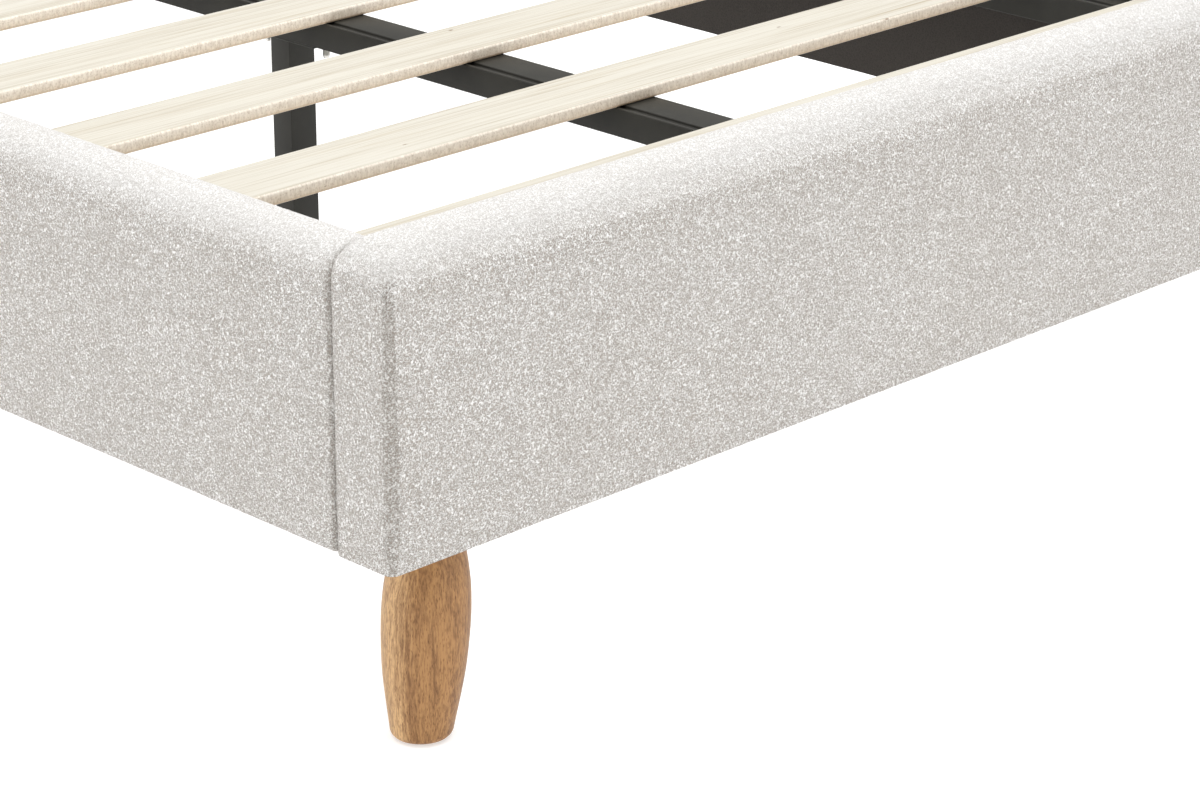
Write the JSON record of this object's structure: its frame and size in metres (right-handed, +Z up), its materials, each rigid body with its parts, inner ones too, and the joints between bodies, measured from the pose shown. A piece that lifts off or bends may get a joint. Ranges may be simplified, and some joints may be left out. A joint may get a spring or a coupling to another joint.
{
  "type": "upholstered headboard bed",
  "caption": "Upholstered platform bed with headboard, padded rails, slatted deck on a steel beam, turned wooden legs and adjustable centre legs.",
  "frame": {"origin": "on the floor, under the middle of the bed", "axes": "+Z up, +Y from the footboard to the headboard, +X across the bed to the right of someone who looks from the foot to the head"},
  "size_m": [1.115, 2.066, 1.05],
  "materials": {
    "boucle_fabric": "off-white curly pile fabric",
    "lining_cloth": "black non-woven cloth",
    "foam": "upholstery foam",
    "frame_wood": "raw engineered board",
    "hardboard": "smooth hardboard",
    "slat_wood": "raw pale laminated slat",
    "leg_wood": "satin lacquered rubberwood",
    "black_plastic": "moulded black plastic",
    "zinc_steel": "zinc plated",
    "black_steel": "black powder coat"
  },
  "bodies": {
    "frame": {"beam_bolts": "black_steel", "beam_bracket_screws": "zinc_steel", "beam_brackets": "black_steel", "centre_beam": "black_steel", "centre_leg_1": "black_steel", "centre_leg_2": "black_steel", "centre_leg_plugs": "black_plastic", "corner_bolts": "black_steel", "corner_inserts": "zinc_steel", "flange_bolts": "zinc_steel", "flange_nuts": "zinc_steel", "foot_left_bracket": "black_steel", "foot_left_leg": "leg_wood", "foot_right_bracket": "black_steel", "foot_right_leg": "leg_wood", "footboard_core": "frame_wood", "footboard_cover": "boucle_fabric", "footboard_foam": "foam", "footboard_lining": "lining_cloth", "head_left_bracket": "black_steel", "head_left_leg": "leg_wood", "head_right_bracket": "black_steel", "head_right_leg": "leg_wood", "headboard_back_cloth": "lining_cloth", "headboard_cover": "boucle_fabric", "headboard_foam": "foam", "headboard_frame": "frame_wood", "headboard_lining": "lining_cloth", "headboard_panel": "hardboard", "ledge_screws": "black_steel", "left_rail_core": "frame_wood", "left_rail_cover": "boucle_fabric", "left_rail_foam": "foam", "left_rail_lining": "lining_cloth", "left_slat_ledge": "black_steel", "leg_glides": "black_plastic", "leg_hanger_bolts": "zinc_steel", "leg_tee_nuts": "zinc_steel", "right_rail_core": "frame_wood", "right_rail_cover": "boucle_fabric", "right_rail_foam": "foam", "right_rail_lining": "lining_cloth", "right_slat_ledge": "black_steel", "slat_01": "slat_wood", "slat_02": "slat_wood", "slat_03": "slat_wood", "slat_04": "slat_wood", "slat_05": "slat_wood", "slat_06": "slat_wood", "slat_07": "slat_wood", "slat_08": "slat_wood", "slat_09": "slat_wood", "slat_10": "slat_wood", "slat_11": "slat_wood", "slat_screws": "zinc_steel", "tube_end_caps": "black_plastic"},
    "foot_end_leveller": {"levelling_stem_1": "zinc_steel", "levelling_pad_1": "black_plastic"},
    "head_end_leveller": {"levelling_stem_2": "zinc_steel", "levelling_pad_2": "black_plastic"}
  },
  "joints": [
    {"name": "foot_end_level", "type": "slide", "parent": "frame", "child": "foot_end_leveller", "axis": [0, 0, 1], "range_m": [0, 0.012]},
    {"name": "head_end_level", "type": "slide", "parent": "frame", "child": "head_end_leveller", "axis": [0, 0, 1], "range_m": [0, 0.012]}
  ]
}
